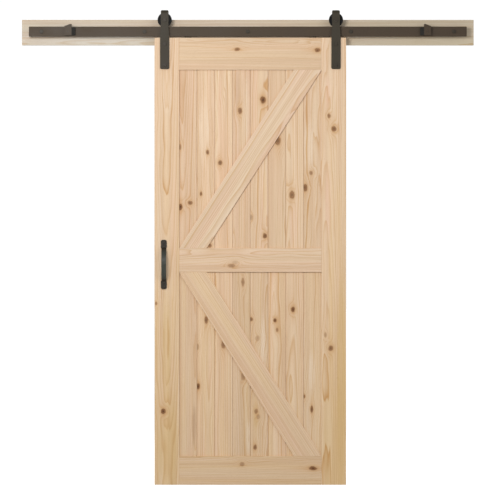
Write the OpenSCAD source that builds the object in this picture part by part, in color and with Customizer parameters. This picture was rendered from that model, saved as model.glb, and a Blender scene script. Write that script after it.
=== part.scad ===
// Sliding barn door: a knotty pine K-frame slab on two strap hangers with grooved wheels, running on a
// flat steel track that is stood off a pine header board. Millimetres.
// X runs along the track, Y into the wall, Z up. The origin is the centre of the header's back face.

/* [Door slab] */
// Width of the slab, a 36 in door
door_w = 914.4; // [762:0.1:1100]
// Height of the slab, an 84 in door
door_h = 2133.6; // [1700:0.1:2560]
// Thickness of the stiles and rails
door_t = 35; // [30:0.5:42]
// How far the slab's centre stands to the right of the track's centre at rest
door_shift = 12; // [-250:1:250]
// Gap between the track's lower edge and the slab's top edge
door_drop = 6; // [5:0.5:20]
// Width of each stile
stile_w = 118; // [98:1:142]
// Height of the top rail
top_rail_h = 153.5; // [110:0.5:190]
// Height of the middle rail
mid_rail_h = 114.5; // [90:0.5:160]
// Height of the bottom rail
bottom_rail_h = 137.4; // [100:0.1:190]
// Distance from the slab's top edge down to the middle rail's upper edge
mid_rail_drop = 1004; // [700:1:1250]
// Eased edge taken off every board
arris = 1; // [0.5:0.1:2]

/* [Planks and braces] */
// Number of tongue and groove planks in each panel
plank_count = 8; // [4:1:8]
// Thickness of the planks
plank_t = 19; // [15:0.5:22]
// How far the planks run into the grooves of the frame
plank_let_in = 10; // [6:0.5:14]
// V cut along the meeting edges of the planks
plank_v = 2.5; // [1:0.1:4]
// Thickness of the tongues
tongue_t = 6; // [4:0.5:7]
// Length of the tongues
tongue_l = 8; // [5:0.5:10]
// Clearance of tongues in their grooves and of planks in the frame
plank_gap = 0.4; // [0.2:0.1:0.8]
// Width of the diagonal braces, square across them
brace_w = 110; // [85:1:135]

/* [Dowels] */
// Diameter of the dowels that join rails to stiles
dowel_d = 12; // [8:0.5:14]
// Length of the dowels
dowel_l = 90; // [60:1:110]
// Distance between the two dowels of one joint
dowel_pitch = 58; // [40:1:68]

/* [Header board] */
// Length of the header board
header_l = 2160; // [1950:1:2600]
// Height of the header board
header_h = 122; // [100:1:150]
// Thickness of the header board
header_t = 19; // [16:0.5:24]
// Diameter of the holes for the wall screws
wall_hole_d = 6.5; // [5:0.1:8]
// Diameter of the countersinks for the wall screws
wall_sink_d = 13; // [10:0.5:16]
// Distance between the inner pair of wall screw holes
wall_inner_pitch = 492; // [300:2:600]
// Distance between the outer pair of wall screw holes
wall_outer_pitch = 1476; // [1100:2:1600]

/* [Track] */
// Length of the flat track
track_l = 2090; // [1740:1:2510]
// Height of the flat track
track_h = 47.5; // [40:0.5:57]
// Thickness of the flat track
track_t = 6; // [5:0.1:7.2]
// How far the track's middle sits above the header's middle
track_rise = 3; // [0:0.1:10]
// Corner radius of the track's ends
track_corner_r = 3; // [1:0.5:6]
// Length of the spacers that stand the track off the header
spacer_l = 30; // [25:0.5:40]
// Outer diameter of the spacers
spacer_d = 22; // [18:0.5:26]
// Distance from a track end to its nearest bolt
track_bolt_inset = 60; // [30:1:90]
// Number of lag bolts along the track
track_bolt_count = 5; // [3:1:7]
// Diameter of the lag bolts
lag_d = 8; // [6:0.1:10]
// Height of the lag bolt heads
lag_head_h = 5; // [4:0.1:5.5]
// Width across the flats of the small hex heads
small_hex_w = 13; // [11:0.5:14]
// Wood left behind the tip of a lag bolt
lag_tip_cover = 2; // [1:0.5:6]

/* [End stops] */
// Distance from a track end to the inner face of its bumper
stop_inset = 222; // [150:1:240]
// Length of the steel clamp of a stop
stop_l = 34; // [25:1:45]
// Height of the clamp's horn over the track
stop_horn = 12; // [8:0.5:16]
// Thickness of the clamp's front cheek
stop_cheek = 12.7; // [10:0.1:14]
// Thickness of the clamp's rear cheek
stop_rear_cheek = 6.5; // [5:0.1:7]
// How far the clamp's cheeks stop short of the track's lower edge
stop_lift = 6; // [3:0.5:10]
// Length of the rubber bumper
bumper_l = 18; // [12:0.5:24]
// How far the bumper stays inside the track's upper edge
bumper_inset = 4.3; // [2:0.1:6]
// Diameter of the bumper's spigot in the clamp
bumper_spigot_d = 6; // [4:0.5:7]
// Length of the bumper's spigot
bumper_spigot_l = 8; // [5:0.5:12]
// Diameter of the set screws
set_screw_d = 6; // [4:0.5:8]

/* [Wheels] */
// Radius at which a wheel rolls, measured to the groove's floor
groove_r = 31.3; // [25:0.1:35]
// How far the flanges reach past the groove's floor
flange_h = 2.7; // [2:0.1:4]
// Width of a wheel
wheel_w = 20; // [16:0.5:24]
// Radius of the raised hub
hub_r = 17; // [15.5:0.5:20]
// Depth of the recess between hub and rim
web_sink = 3; // [1:0.5:5]
// Outer diameter of the wheel bearing
bearing_d = 26; // [22:0.5:28]
// Width of the wheel bearing
bearing_w = 8; // [6:0.5:10]
// Diameter of the axle
axle_d = 10; // [8:0.5:12]
// Width across the flats of the axle's hex head and nut
axle_hex_w = 16; // [14:0.5:18]
// Height of the axle's head
axle_head_h = 6.4; // [5:0.1:8]
// Height of the axle's nut
axle_nut_h = 7; // [5:0.5:8]

/* [Hangers] */
// Distance from a slab edge to the middle of its hanger
hanger_inset = 48.5; // [35:0.5:60]
// Width of the strap over the slab
hanger_w = 44; // [36:0.5:52]
// Width of the strap over the wheel
hanger_top_w = 37; // [30:0.5:44]
// Thickness of the strap
hanger_t = 6; // [5:0.1:7]
// Length of strap that lies on the slab
hanger_grip = 149.5; // [120:0.5:180]
// Space over the wheel, under the bend of the strap
arch_clear = 7; // [7:0.1:16]
// Corner radius of the strap's lower end and of its bend
hanger_corner_r = 7; // [3:0.5:10]
// Distance from the slab's top edge to the upper hanger bolt
hanger_bolt_drop = 30; // [24:0.5:40]
// Distance between the two bolts of a hanger
hanger_bolt_pitch = 100; // [70:1:110]
// Outer diameter of the barrel nuts
barrel_d = 11; // [10:0.1:13]
// Diameter of the barrel nuts' flat heads
barrel_head_d = 20; // [16:0.5:24]
// Height of the barrel nuts' flat heads
barrel_head_h = 2.5; // [2:0.1:3]

/* [Anti-jump discs] */
// Diameter of the discs
disc_d = 32; // [24:1:34]
// Thickness of the discs
disc_t = 4; // [3:0.1:4.5]
// Distance from a hanger's middle to its disc
disc_offset = 110; // [95:1:160]
// Length of the disc screws
disc_screw_l = 32; // [20:1:45]

/* [Handle] */
// Length of the pull handle over its pads
handle_l = 235; // [200:1:280]
// Distance from the slab's left edge to the middle of the handle
handle_inset = 44.6; // [30:0.1:70]
// Width of the pads
pad_w = 28; // [22:0.5:34]
// Length of the pads
pad_l = 43; // [36:0.5:50]
// Thickness of the pads
pad_t = 5; // [3:0.5:7]
// Width of the grip
grip_w = 23; // [16:0.5:28]
// Thickness of the grip
grip_t = 10; // [7:0.5:13]
// How far the grip's outer face stands off the slab
grip_reach = 45; // [36:0.5:55]
// Diameter of the handle screws
handle_screw_d = 4.5; // [3.5:0.1:5.5]
// Length of the handle screws under the head
handle_screw_l = 30; // [20:1:32]
// Distance between the two screws of one pad
handle_screw_pitch = 22; // [18:0.5:26]

/* [Fits] */
// Gap all round between parts that move on each other
run_gap = 0.3; // [0.2:0.05:0.5]
// Gap all round a fastener or dowel in its hole
hole_gap = 0.3; // [0.1:0.05:0.6]
// Running clearance of the axle in its bearing, on the radius
axle_gap = 0.05; // [0.02:0.01:0.1]
// Clearance of the bearing in its wheel, on the radius
seat_gap = 0.05; // [0.02:0.01:0.1]
// Gap between a wheel's side and the strap
side_gap = 2; // [1.5:0.1:3]

/* [Hidden] */
$fn = 96;
pine = [0.87, 0.76, 0.62];
pine_pale = [0.90, 0.80, 0.67];
dark_steel = [0.30, 0.27, 0.24];
black_steel = [0.13, 0.13, 0.12];
rubber_black = [0.06, 0.06, 0.06];
bright_steel = [0.70, 0.70, 0.70];

// Depths, from the wall towards the room
header_front_y = -header_t;
track_back_y = header_front_y - spacer_l;
track_y = track_back_y - track_t / 2;
track_front_y = track_back_y - track_t;
loop_r = wheel_w / 2 + side_gap;
door_front_y = track_y - loop_r;
door_back_y = door_front_y + door_t;
door_y = door_front_y + door_t / 2;
strap_front_y = door_front_y - hanger_t;
recess = (door_t - plank_t) / 2;

// Heights
track_top_z = track_rise + track_h / 2;
track_low_z = track_rise - track_h / 2;
axle_z = track_top_z + groove_r + run_gap;
flange_r = groove_r + flange_h;
strap_top_z = axle_z + flange_r + arch_clear + hanger_t;
bend_z = strap_top_z - loop_r - hanger_t;
door_top_z = track_low_z - door_drop;
door_low_z = door_top_z - door_h;
strap_low_z = door_top_z - hanger_grip;
top_rail_low_z = door_top_z - top_rail_h;
mid_rail_top_z = door_top_z - mid_rail_drop;
mid_rail_low_z = mid_rail_top_z - mid_rail_h;
bottom_rail_top_z = door_low_z + bottom_rail_h;
handle_z = mid_rail_top_z - mid_rail_h * 0.68;

// Places along the track
door_left_x = door_shift - door_w / 2;
door_right_x = door_shift + door_w / 2;
panel_left_x = door_left_x + stile_w;
panel_right_x = door_right_x - stile_w;
panel_w = panel_right_x - panel_left_x;
hanger_xs = [door_left_x + hanger_inset, door_right_x - hanger_inset];
disc_xs = [hanger_xs[0] + disc_offset, hanger_xs[1] - disc_offset];
handle_x = door_left_x + handle_inset;
bumper_face_x = track_l / 2 - stop_inset;
track_bolt_span = track_l - 2 * track_bolt_inset;
track_bolt_xs = [for (i = [0:track_bolt_count - 1])
    -track_bolt_span / 2 + i * track_bolt_span / (track_bolt_count - 1)];
wall_hole_xs = [for (p = [wall_inner_pitch, wall_outer_pitch], s = [-1, 1]) s * p / 2];

// Fasteners
washer_t = 1.6;
washer_d = small_hex_w + 6;
hex_bolt_head_h = 5.5;
hanger_bolt_d = 8;
hanger_bolt_zs = [door_top_z - hanger_bolt_drop, door_top_z - hanger_bolt_drop - hanger_bolt_pitch];
hanger_bolt_bite = 24;
barrel_short = 2;
axle_spacer_d = axle_d + 4;
axle_tail = 1;
disc_screw_d = 4;
disc_screw_head_d = 8;
disc_screw_head_h = 2.4;
handle_screw_head_d = 8.5;
handle_screw_head_h = 2.6;

// Rows of rail ends that take dowels: the middle height of each rail
rail_zs = [
    (door_top_z + top_rail_low_z) / 2,
    (mid_rail_top_z + mid_rail_low_z) / 2,
    (bottom_rail_top_z + door_low_z) / 2
];

// Horizontal width of a brace of width w that fills a panel of width pw and height ph corner to corner
function brace_run(w, pw, ph) =
    w * (sqrt(w * w * pw * pw + (ph * ph - w * w) * (pw * pw + ph * ph)) - w * pw) / (ph * ph - w * w);

// ---------- shared shapes ----------

// A rectangle from [x0, y0] to [x1, y1] with its corners cut off by c
module cut_rect(x0, y0, x1, y1, c) {
    polygon([
        [x0 + c, y0], [x1 - c, y0], [x1, y0 + c], [x1, y1 - c],
        [x1 - c, y1], [x0 + c, y1], [x0, y1 - c], [x0, y0 + c]
    ]);
}

// A rectangle about the origin with round corners
module round_rect(w, h, r) {
    square([w - 2 * r, h], center = true);
    square([w, h - 2 * r], center = true);
    for (sx = [-1, 1], sy = [-1, 1])
        translate([sx * (w / 2 - r), sy * (h / 2 - r)])
            circle(r);
}

// A board between two corners, with every edge eased
module board(lo, hi) {
    intersection() {
        translate([0, 0, lo[2]])
            linear_extrude(hi[2] - lo[2])
                cut_rect(lo[0], lo[1], hi[0], hi[1], arris);
        on_wall(hi[1], hi[1] - lo[1])
            cut_rect(lo[0], lo[2], hi[0], hi[2], arris);
        translate([lo[0], 0, 0])
            side_on(hi[0] - lo[0])
                cut_rect(lo[1], lo[2], hi[1], hi[2], arris);
    }
}

// Extrudes an outline drawn in X and Z, from y towards the room by depth
module on_wall(y, depth) {
    translate([0, y, 0])
        rotate([90, 0, 0])
            linear_extrude(depth)
                children();
}

// Extrudes an outline drawn in Y and Z along X by length
module side_on(length) {
    rotate([90, 0, 90])
        linear_extrude(length)
            children();
}

// A round bar along Y, from y0 in the room to y1 nearer the wall
module bar_y(x, z, d, y0, y1) {
    translate([x, y1, z])
        rotate([90, 0, 0])
            cylinder(h = y1 - y0, d = d);
}

// A tube along Y
module tube_y(x, z, d, bore, y0, y1) {
    difference() {
        bar_y(x, z, d, y0, y1);
        bar_y(x, z, bore, y0 - 1, y1 + 1);
    }
}

// A hexagon along Y, by its width across the flats
module hex_y(x, z, w, y0, y1) {
    translate([x, y1, z])
        rotate([90, 0, 0])
            cylinder(h = y1 - y0, d = w / cos(30), $fn = 6);
}

// ---------- header and track ----------

module header_board() {
    color(pine_pale)
        difference() {
            board([-header_l / 2, header_front_y, -header_h / 2], [header_l / 2, 0, header_h / 2]);
            for (x = track_bolt_xs)
                bar_y(x, track_rise, lag_d + 2 * hole_gap, header_front_y - 1, -lag_tip_cover);
            for (x = wall_hole_xs) {
                bar_y(x, track_rise, wall_hole_d, header_front_y - 1, 1);
                translate([x, header_front_y, track_rise])
                    rotate([-90, 0, 0])
                        cylinder(h = (wall_sink_d - wall_hole_d) / 2, d1 = wall_sink_d, d2 = wall_hole_d);
            }
        }
}

module track() {
    color(dark_steel)
        on_wall(track_back_y, track_t)
            difference() {
                translate([0, track_rise])
                    round_rect(track_l, track_h, track_corner_r);
                for (x = track_bolt_xs)
                    translate([x, track_rise])
                        circle(d = lag_d + 2 * hole_gap);
            }
}

module track_spacers() {
    color(dark_steel)
        for (x = track_bolt_xs)
            tube_y(x, track_rise, spacer_d, lag_d + 2 * hole_gap, track_back_y, header_front_y);
}

module track_washers() {
    color(black_steel)
        for (x = track_bolt_xs)
            tube_y(x, track_rise, washer_d, lag_d + 2 * hole_gap, track_front_y - washer_t, track_front_y);
}

module track_lag_bolts() {
    seat_y = track_front_y - washer_t;
    color(black_steel)
        for (x = track_bolt_xs) {
            hex_y(x, track_rise, small_hex_w, seat_y - lag_head_h, seat_y);
            bar_y(x, track_rise, lag_d, seat_y, -lag_tip_cover - hole_gap);
        }
}

// ---------- end stops ----------

stop_front_y = track_front_y - run_gap - stop_cheek;
stop_back_y = track_back_y + run_gap + stop_rear_cheek;
stop_low_z = track_low_z + stop_lift;
stop_face_x = bumper_face_x + bumper_l;
bumper_z = (track_top_z - bumper_inset + stop_low_z) / 2;
bumper_h = track_top_z - bumper_inset - stop_low_z;
set_screw_x = stop_face_x + stop_l / 2 + bumper_spigot_l / 4;

// The right-hand clamp: a saddle over the track, highest on the side that faces the door
module stop_clamp() {
    slope = 0.85 * stop_horn;
    color(dark_steel)
        difference() {
            on_wall(stop_back_y, stop_back_y - stop_front_y)
                polygon([
                    [stop_face_x, stop_low_z],
                    [stop_face_x + stop_l, stop_low_z],
                    [stop_face_x + stop_l, track_top_z + stop_horn - slope],
                    [stop_face_x + stop_l * 0.2, track_top_z + stop_horn],
                    [stop_face_x, track_top_z + stop_horn]
                ]);
            translate([stop_face_x - 1, track_front_y - run_gap, stop_low_z - 1])
                cube([stop_l + 2, track_t + 2 * run_gap, track_top_z - stop_low_z + 1]);
            spigot_bar(bumper_spigot_d + 2 * hole_gap, bumper_spigot_l + hole_gap);
            bar_y(set_screw_x, track_rise, set_screw_d + 2 * hole_gap, stop_front_y - 1, track_front_y);
        }
}

module spigot_bar(d, length) {
    translate([stop_face_x, stop_front_y + stop_cheek / 2, bumper_z])
        rotate([0, 90, 0])
            cylinder(h = length, d = d);
}

module stop_bumper() {
    color(rubber_black) {
        translate([bumper_face_x, 0, 0])
            side_on(bumper_l)
                cut_rect(stop_front_y, bumper_z - bumper_h / 2, stop_front_y + stop_cheek,
                    bumper_z + bumper_h / 2, 2);
        spigot_bar(bumper_spigot_d, bumper_spigot_l);
    }
}

module right_stop() {
    stop_clamp();
}

module left_stop() {
    mirror([1, 0, 0])
        stop_clamp();
}

module right_stop_bumper() {
    stop_bumper();
}

module left_stop_bumper() {
    mirror([1, 0, 0])
        stop_bumper();
}

module stop_set_screws() {
    color(black_steel)
        for (s = [-1, 1])
            bar_y(s * set_screw_x, track_rise, set_screw_d, stop_front_y + 1, track_front_y);
}

// ---------- slab frame ----------

groove_t = plank_t + 2 * plank_gap;

// Room for the planks of one panel in the frame, from the panel's lower to its upper edge
module panel_groove(low_z, top_z) {
    translate([panel_left_x - plank_let_in, door_y - groove_t / 2, low_z - plank_let_in])
        cube([panel_w + 2 * plank_let_in, groove_t, top_z - low_z + 2 * plank_let_in]);
}

module panel_grooves() {
    panel_groove(mid_rail_top_z, top_rail_low_z);
    panel_groove(bottom_rail_top_z, mid_rail_low_z);
}

// Every dowel of the frame, d across and l long
module dowels(d, l) {
    for (x = [panel_left_x, panel_right_x], z = rail_zs, s = [-1, 1])
        translate([x - l / 2, door_y, z + s * dowel_pitch / 2])
            rotate([0, 90, 0])
                cylinder(h = l, d = d);
}

module hanger_bolt_holes(d, y0, y1) {
    for (x = hanger_xs, z = hanger_bolt_zs)
        bar_y(x, z, d, y0, y1);
}

module handle_screw_holes(d, depth) {
    for (z = handle_screw_zs)
        bar_y(handle_x, z, d, door_front_y - 1, door_front_y + depth);
}

module stile(x0) {
    color(pine)
        difference() {
            board([x0, door_front_y, door_low_z], [x0 + stile_w, door_back_y, door_top_z]);
            panel_grooves();
            dowels(dowel_d + 2 * hole_gap, dowel_l + 2 * hole_gap);
            hanger_bolt_holes(barrel_d + 2 * hole_gap, door_front_y - 1, door_back_y + 1);
            handle_screw_holes(handle_screw_d + hole_gap, handle_screw_l);
        }
}

module left_stile() {
    stile(door_left_x);
}

module right_stile() {
    stile(panel_right_x);
}

module rail(low_z, top_z) {
    color(pine)
        difference() {
            board([panel_left_x, door_front_y, low_z], [panel_right_x, door_back_y, top_z]);
            panel_grooves();
            dowels(dowel_d + 2 * hole_gap, dowel_l + 2 * hole_gap);
            for (x = disc_xs)
                translate([x, door_y, door_top_z - disc_screw_l])
                    cylinder(h = disc_screw_l + 1, d = disc_screw_d + hole_gap);
        }
}

module top_rail() {
    rail(top_rail_low_z, door_top_z);
}

module mid_rail() {
    rail(mid_rail_low_z, mid_rail_top_z);
}

module bottom_rail() {
    rail(door_low_z, bottom_rail_top_z);
}

module frame_dowels() {
    color(pine_pale)
        dowels(dowel_d, dowel_l);
}

// ---------- planks ----------

// Plan of plank i of a panel: groove on its left, tongue on its right, plain where it enters a stile
module plank_plan(i) {
    pitch = panel_w / plank_count;
    first = i == 1;
    last = i == plank_count;
    x0 = first ? panel_left_x - plank_let_in + plank_gap : panel_left_x + (i - 1) * pitch + plank_gap / 2;
    x1 = last ? panel_right_x + plank_let_in - plank_gap : panel_left_x + i * pitch - plank_gap / 2;
    y0 = door_y - plank_t / 2;
    y1 = door_y + plank_t / 2;
    v = plank_v;
    slot_h = tongue_t / 2 + plank_gap / 2;
    slot_l = tongue_l + plank_gap;
    left_edge = first ? [[x0, y1], [x0, y0]] : [
        [x0 + v, y1], [x0, y1 - v], [x0, door_y + slot_h], [x0 + slot_l, door_y + slot_h],
        [x0 + slot_l, door_y - slot_h], [x0, door_y - slot_h], [x0, y0 + v], [x0 + v, y0]
    ];
    right_edge = last ? [[x1, y0], [x1, y1]] : [
        [x1 - v, y0], [x1, y0 + v], [x1, door_y - tongue_t / 2], [x1 + tongue_l, door_y - tongue_t / 2],
        [x1 + tongue_l, door_y + tongue_t / 2], [x1, door_y + tongue_t / 2], [x1, y1 - v], [x1 - v, y1]
    ];
    polygon(concat(left_edge, right_edge));
}

module plank(i, low_z, top_z) {
    into_rail = plank_let_in - plank_gap;
    color(i % 2 == 0 ? pine : pine_pale)
        translate([0, 0, low_z - into_rail])
            linear_extrude(top_z - low_z + 2 * into_rail)
                plank_plan(i);
}

module upper_plank(i) {
    plank(i, mid_rail_top_z, top_rail_low_z);
}

module lower_plank(i) {
    plank(i, bottom_rail_top_z, mid_rail_low_z);
}

// ---------- braces ----------

// A diagonal board across a panel: rising to the right if rise is 1, falling if it is -1
module brace(low_z, top_z, rise, y) {
    run = brace_run(brace_w, panel_w, top_z - low_z);
    left_z = rise > 0 ? low_z : top_z;
    right_z = rise > 0 ? top_z : low_z;
    color(pine_pale)
        on_wall(y, recess)
            polygon([
                [panel_left_x, left_z],
                [panel_left_x + run, left_z],
                [panel_right_x, right_z],
                [panel_right_x - run, right_z]
            ]);
}

module upper_brace() {
    brace(mid_rail_top_z, top_rail_low_z, 1, door_front_y + recess);
}

module lower_brace() {
    brace(bottom_rail_top_z, mid_rail_low_z, -1, door_front_y + recess);
}

module upper_back_brace() {
    brace(mid_rail_top_z, top_rail_low_z, 1, door_back_y);
}

module lower_back_brace() {
    brace(bottom_rail_top_z, mid_rail_low_z, -1, door_back_y);
}

// ---------- hangers ----------

// Front view of the whole strap, about its own middle: wide over the slab, narrower over the wheel
module strap_front_outline() {
    mid_z = (strap_low_z + track_low_z) / 2;
    translate([0, mid_z])
        round_rect(hanger_w, track_low_z - strap_low_z, hanger_corner_r);
    translate([-hanger_w / 2, mid_z])
        square([hanger_w, track_low_z - mid_z]);
    polygon([
        [-hanger_w / 2, track_low_z], [hanger_w / 2, track_low_z],
        [hanger_top_w / 2, track_top_z], [-hanger_top_w / 2, track_top_z]
    ]);
    translate([0, (track_top_z + strap_top_z) / 2])
        round_rect(hanger_top_w, strap_top_z - track_top_z, hanger_corner_r);
    translate([-hanger_top_w / 2, track_top_z])
        square([hanger_top_w, (strap_top_z - track_top_z) / 2]);
}

module strap_front_leg() {
    intersection() {
        on_wall(door_front_y, hanger_t)
            strap_front_outline();
        translate([-hanger_w, strap_front_y - 1, strap_low_z - 1])
            cube([2 * hanger_w, hanger_t + 2, bend_z - strap_low_z + 1]);
    }
}

module strap_bend() {
    intersection() {
        translate([-hanger_top_w / 2, 0, 0])
            side_on(hanger_top_w)
                translate([track_y, bend_z])
                    difference() {
                        circle(loop_r + hanger_t);
                        circle(loop_r);
                        translate([-2 * loop_r - hanger_t, -2 * loop_r - 2 * hanger_t])
                            square([4 * loop_r + 2 * hanger_t, 2 * loop_r + 2 * hanger_t]);
                    }
        on_wall(track_y + 2 * loop_r, 4 * loop_r)
            strap_front_outline();
    }
}

module strap_rear_leg() {
    on_wall(track_y + loop_r + hanger_t, hanger_t) {
        translate([0, axle_z])
            circle(d = hanger_top_w);
        translate([-hanger_top_w / 2, axle_z])
            square([hanger_top_w, bend_z - axle_z]);
    }
}

module hanger(x) {
    color(dark_steel)
        difference() {
            translate([x, 0, 0]) {
                strap_front_leg();
                strap_bend();
                strap_rear_leg();
            }
            bar_y(x, axle_z, axle_d + 2 * hole_gap, strap_front_y - 1, header_front_y);
            hanger_bolt_holes(hanger_bolt_d + 2 * hole_gap, strap_front_y - 1, door_front_y + 1);
        }
}

module left_hanger() {
    hanger(hanger_xs[0]);
}

module right_hanger() {
    hanger(hanger_xs[1]);
}

module hanger_washers() {
    color(black_steel)
        for (x = hanger_xs, z = hanger_bolt_zs)
            tube_y(x, z, washer_d, hanger_bolt_d + 2 * hole_gap, strap_front_y - washer_t, strap_front_y);
}

module hanger_bolts() {
    seat_y = strap_front_y - washer_t;
    color(black_steel)
        for (x = hanger_xs, z = hanger_bolt_zs) {
            hex_y(x, z, small_hex_w, seat_y - hex_bolt_head_h, seat_y);
            bar_y(x, z, hanger_bolt_d, seat_y, door_front_y + hanger_bolt_bite);
        }
}

// Flanged sleeves let in from the back of the slab; the hanger bolts screw into them
module hanger_barrel_nuts() {
    color(black_steel)
        for (x = hanger_xs, z = hanger_bolt_zs)
            difference() {
                union() {
                    bar_y(x, z, barrel_head_d, door_back_y, door_back_y + barrel_head_h);
                    bar_y(x, z, barrel_d, door_front_y + barrel_short, door_back_y);
                }
                bar_y(x, z, hanger_bolt_d + hole_gap, door_front_y, door_back_y - barrel_head_h);
            }
}

module axle_bolts() {
    color(black_steel)
        for (x = hanger_xs) {
            hex_y(x, axle_z, axle_hex_w, strap_front_y - axle_head_h, strap_front_y);
            bar_y(x, axle_z, axle_d, strap_front_y, track_y + loop_r + hanger_t + axle_nut_h + axle_tail);
        }
}

module axle_nuts() {
    y0 = track_y + loop_r + hanger_t;
    color(black_steel)
        for (x = hanger_xs)
            difference() {
                hex_y(x, axle_z, axle_hex_w, y0, y0 + axle_nut_h);
                bar_y(x, axle_z, axle_d + hole_gap, y0 - 1, y0 + axle_nut_h + 1);
            }
}

// Sleeves on the axle that keep each bearing in the middle of its strap
module axle_spacers() {
    sleeve_l = loop_r - bearing_w / 2 - run_gap;
    color(bright_steel)
        for (x = hanger_xs) {
            tube_y(x, axle_z, axle_spacer_d, axle_d + hole_gap, track_y - loop_r, track_y - loop_r + sleeve_l);
            tube_y(x, axle_z, axle_spacer_d, axle_d + hole_gap, track_y + loop_r - sleeve_l, track_y + loop_r);
        }
}

// ---------- wheels ----------

// Half section of a wheel: a rim with a groove that straddles the track, a thin web and a hub
module wheel_section() {
    bore_r = bearing_d / 2 + seat_gap;
    half = wheel_w / 2;
    web = half - web_sink;
    rim_r = groove_r - 4;
    floor_w = track_t / 2 + run_gap;
    mouth_w = floor_w + 0.45 * flange_h;
    soft = 1;
    one_side = [
        [flange_r, mouth_w], [flange_r, half - soft], [flange_r - soft, half], [rim_r, half],
        [rim_r - 1.5, web], [hub_r + 1.5, web], [hub_r, half], [bore_r, half]
    ];
    other_side = [for (i = [len(one_side) - 1:-1:0]) [one_side[i][0], -one_side[i][1]]];
    polygon(concat([[groove_r, -floor_w], [groove_r, floor_w]], one_side, other_side));
}

module wheel(x) {
    color(rubber_black)
        translate([x, track_y, axle_z])
            rotate([90, 0, 0])
                rotate_extrude()
                    wheel_section();
}

module left_wheel() {
    wheel(hanger_xs[0]);
}

module right_wheel() {
    wheel(hanger_xs[1]);
}

module wheel_bearing(x) {
    color(bright_steel)
        tube_y(x, axle_z, bearing_d, axle_d + 2 * axle_gap, track_y - bearing_w / 2, track_y + bearing_w / 2);
}

module left_wheel_bearing() {
    wheel_bearing(hanger_xs[0]);
}

module right_wheel_bearing() {
    wheel_bearing(hanger_xs[1]);
}

// ---------- anti-jump discs ----------

// Discs on the slab's top edge, close under the track, that keep the wheels from lifting off it
module anti_jump_discs() {
    color(rubber_black)
        for (x = disc_xs)
            translate([x, door_y, door_top_z])
                difference() {
                    cylinder(h = disc_t, d = disc_d);
                    translate([0, 0, -1])
                        cylinder(h = disc_t + 2, d = disc_screw_d + 2 * hole_gap);
                    translate([0, 0, disc_t - disc_screw_head_h])
                        cylinder(h = disc_screw_head_h + 1, d = disc_screw_head_d + 2 * hole_gap);
                }
}

module anti_jump_screws() {
    color(bright_steel)
        for (x = disc_xs)
            translate([x, door_y, door_top_z + disc_t - disc_screw_head_h]) {
                cylinder(h = disc_screw_head_h, d = disc_screw_head_d);
                translate([0, 0, disc_screw_head_h / 2 - disc_screw_l + 1])
                    cylinder(h = disc_screw_l - 1 - disc_screw_head_h / 2, d = disc_screw_d);
            }
}

// ---------- handle ----------

pad_z = (handle_l - pad_l) / 2;
handle_screw_zs = [for (s = [-1, 1], t = [-1, 1]) handle_z + s * pad_z + t * handle_screw_pitch / 2];
grip_half_span = handle_l / 2 - pad_l * 0.78;
grip_arc_r = (grip_reach * grip_reach + grip_half_span * grip_half_span) / (2 * grip_reach);

// Bowed grip: a slice of a ring whose middle lies behind the slab's face
module grip() {
    intersection() {
        translate([-grip_w / 2, 0, 0])
            side_on(grip_w)
                translate([door_front_y - grip_reach + grip_arc_r, handle_z])
                    difference() {
                        circle(grip_arc_r);
                        circle(grip_arc_r - grip_t);
                    }
        translate([-grip_w, door_front_y - 2 * grip_reach, handle_z - handle_l / 2])
            cube([2 * grip_w, 2 * grip_reach, handle_l]);
    }
}

module pull_handle() {
    color(black_steel)
        difference() {
            translate([handle_x, 0, 0]) {
                grip();
                for (s = [-1, 1])
                    on_wall(door_front_y, pad_t)
                        translate([0, handle_z + s * pad_z])
                            round_rect(pad_w, pad_l, pad_w * 0.32);
            }
            for (z = handle_screw_zs)
                bar_y(handle_x, z, handle_screw_d + 2 * hole_gap, door_front_y - 2 * pad_t, door_front_y + 1);
        }
}

module handle_screws() {
    head_y = door_front_y - pad_t;
    color(black_steel)
        for (z = handle_screw_zs) {
            bar_y(handle_x, z, handle_screw_head_d, head_y - handle_screw_head_h, head_y);
            bar_y(handle_x, z, handle_screw_d, head_y, head_y + handle_screw_l);
        }
}

header_board();
track();
track_spacers();
track_washers();
track_lag_bolts();
left_stop();
right_stop();
left_stop_bumper();
right_stop_bumper();
stop_set_screws();
left_stile();
right_stile();
top_rail();
mid_rail();
bottom_rail();
frame_dowels();
for (i = [1:plank_count]) upper_plank(i);
for (i = [1:plank_count]) lower_plank(i);
upper_brace();
lower_brace();
upper_back_brace();
lower_back_brace();
left_hanger();
right_hanger();
hanger_bolts();
hanger_washers();
hanger_barrel_nuts();
axle_bolts();
axle_nuts();
axle_spacers();
left_wheel();
right_wheel();
left_wheel_bearing();
right_wheel_bearing();
anti_jump_discs();
anti_jump_screws();
pull_handle();
handle_screws();
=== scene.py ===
import math
import random
from collections import Counter

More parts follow.
